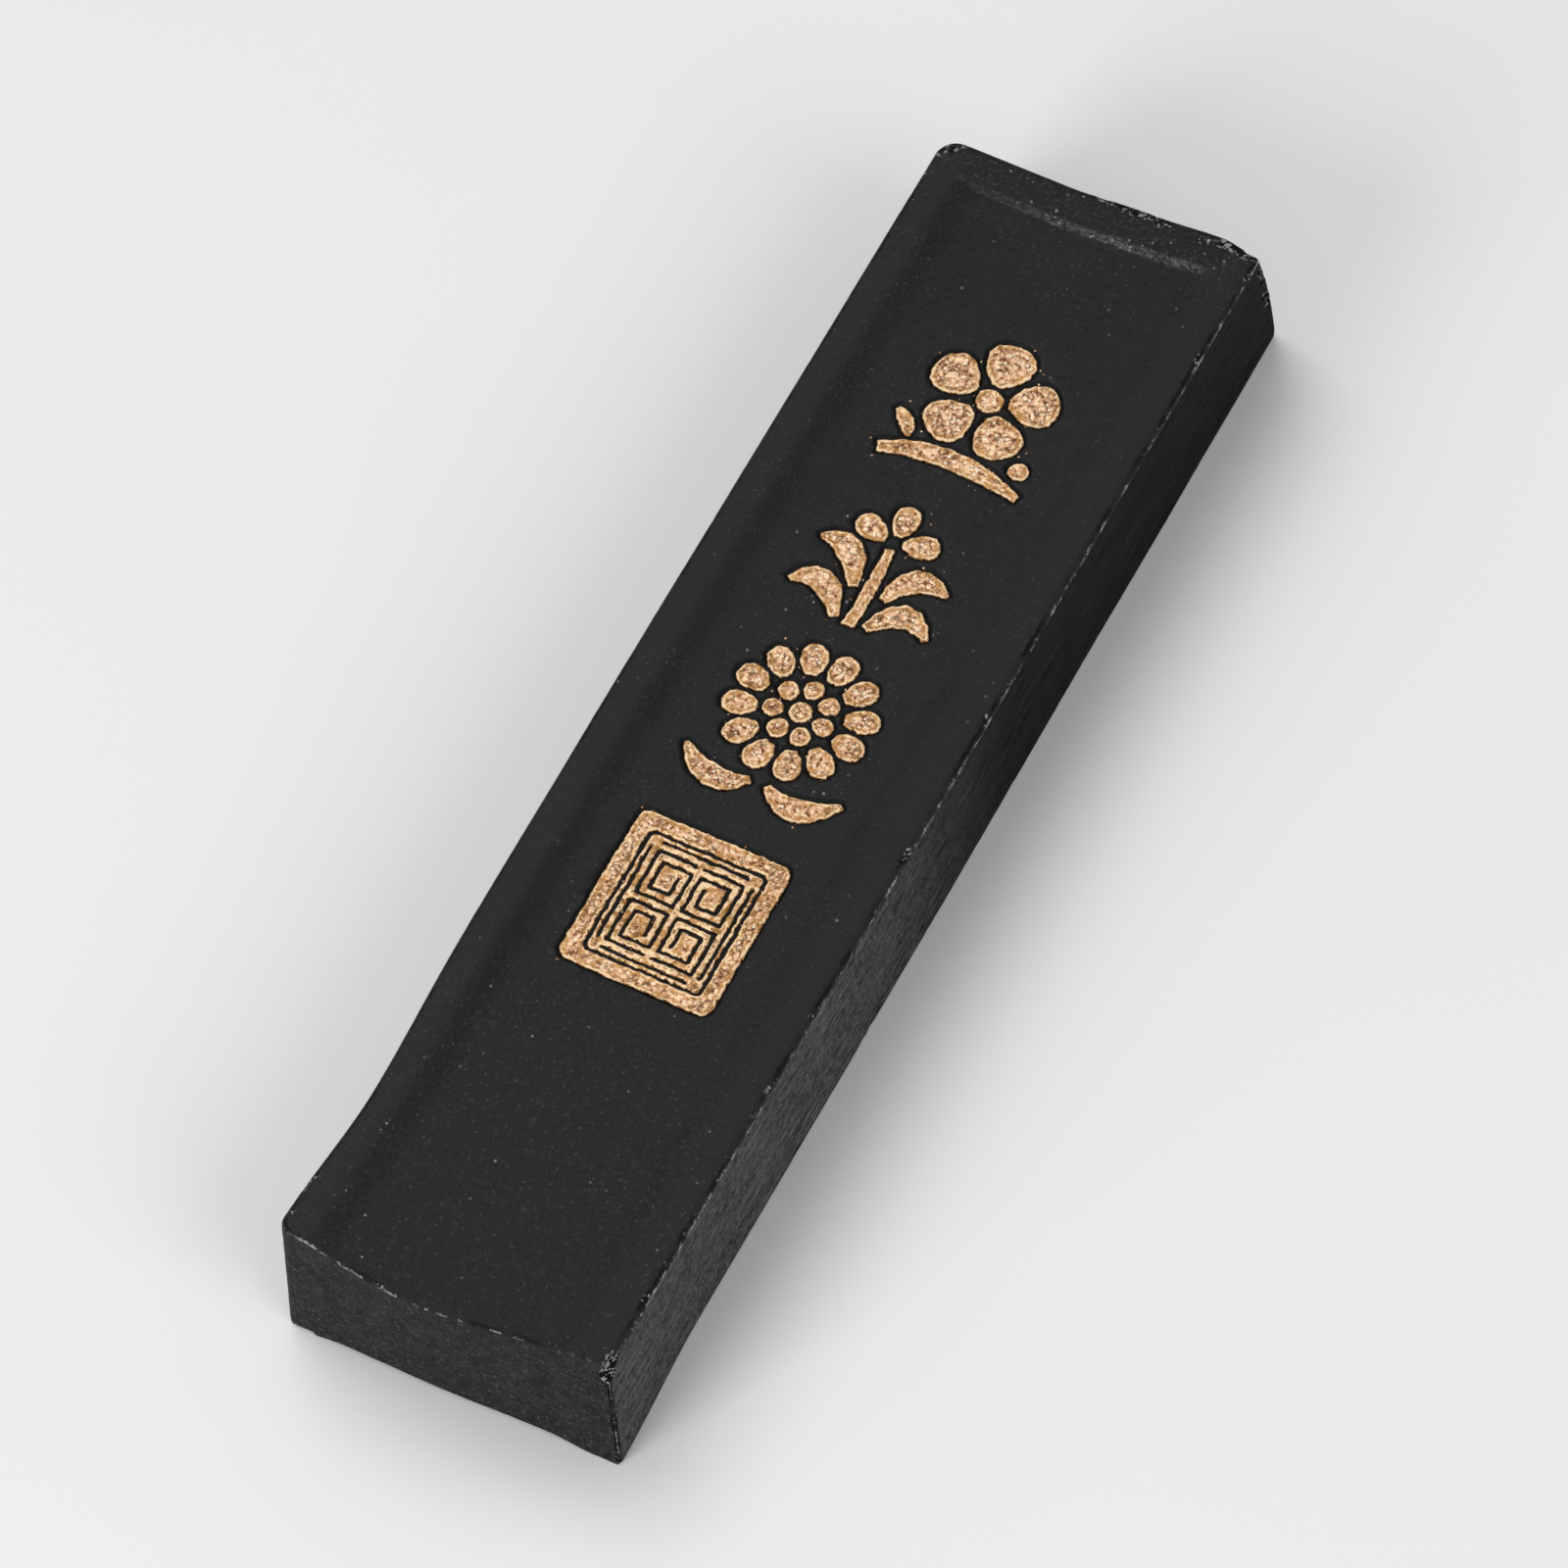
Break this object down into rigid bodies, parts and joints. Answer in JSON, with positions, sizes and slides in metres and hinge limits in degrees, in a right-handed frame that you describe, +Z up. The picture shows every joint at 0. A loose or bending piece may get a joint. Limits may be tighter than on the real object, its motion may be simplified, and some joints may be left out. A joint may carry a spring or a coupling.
{
  "type": "ink stick",
  "caption": "Rectangular black ink stick with a sunken panel on both broad faces and gilded flower and fret ornament on the upper one.",
  "frame": {"origin": "centre of the underside, in the plane of the rim the stick rests on", "axes": "+X across the width, +Y along the length towards the plum blossom end, +Z up out of the gilded face"},
  "size_m": [0.02, 0.0821, 0.011],
  "materials": {
    "ink": "satin",
    "gilt": "matte"
  },
  "bodies": {
    "root": {"chrysanthemum_centre_gilt": "gilt", "chrysanthemum_inner_petal_1_gilt": "gilt", "chrysanthemum_inner_petal_2_gilt": "gilt", "chrysanthemum_inner_petal_3_gilt": "gilt", "chrysanthemum_inner_petal_4_gilt": "gilt", "chrysanthemum_inner_petal_5_gilt": "gilt", "chrysanthemum_inner_petal_6_gilt": "gilt", "chrysanthemum_inner_petal_7_gilt": "gilt", "chrysanthemum_leaf_1_gilt": "gilt", "chrysanthemum_leaf_2_gilt": "gilt", "chrysanthemum_outer_petal_10_gilt": "gilt", "chrysanthemum_outer_petal_11_gilt": "gilt", "chrysanthemum_outer_petal_12_gilt": "gilt", "chrysanthemum_outer_petal_1_gilt": "gilt", "chrysanthemum_outer_petal_2_gilt": "gilt", "chrysanthemum_outer_petal_3_gilt": "gilt", "chrysanthemum_outer_petal_4_gilt": "gilt", "chrysanthemum_outer_petal_5_gilt": "gilt", "chrysanthemum_outer_petal_6_gilt": "gilt", "chrysanthemum_outer_petal_7_gilt": "gilt", "chrysanthemum_outer_petal_8_gilt": "gilt", "chrysanthemum_outer_petal_9_gilt": "gilt", "ink_bar": "ink", "orchid_blade_1_gilt": "gilt", "orchid_blade_2_gilt": "gilt", "orchid_blade_3_gilt": "gilt", "orchid_blade_4_gilt": "gilt", "orchid_petal_1_gilt": "gilt", "orchid_petal_2_gilt": "gilt", "orchid_petal_3_gilt": "gilt", "orchid_stalk_gilt": "gilt", "plum_bud_gilt": "gilt", "plum_centre_gilt": "gilt", "plum_leaf_gilt": "gilt", "plum_petal_1_gilt": "gilt", "plum_petal_2_gilt": "gilt", "plum_petal_3_gilt": "gilt", "plum_petal_4_gilt": "gilt", "plum_petal_5_gilt": "gilt", "plum_twig_gilt": "gilt", "seal_border_gilt": "gilt", "seal_field_gilt": "gilt"}
  },
  "joints": []
}
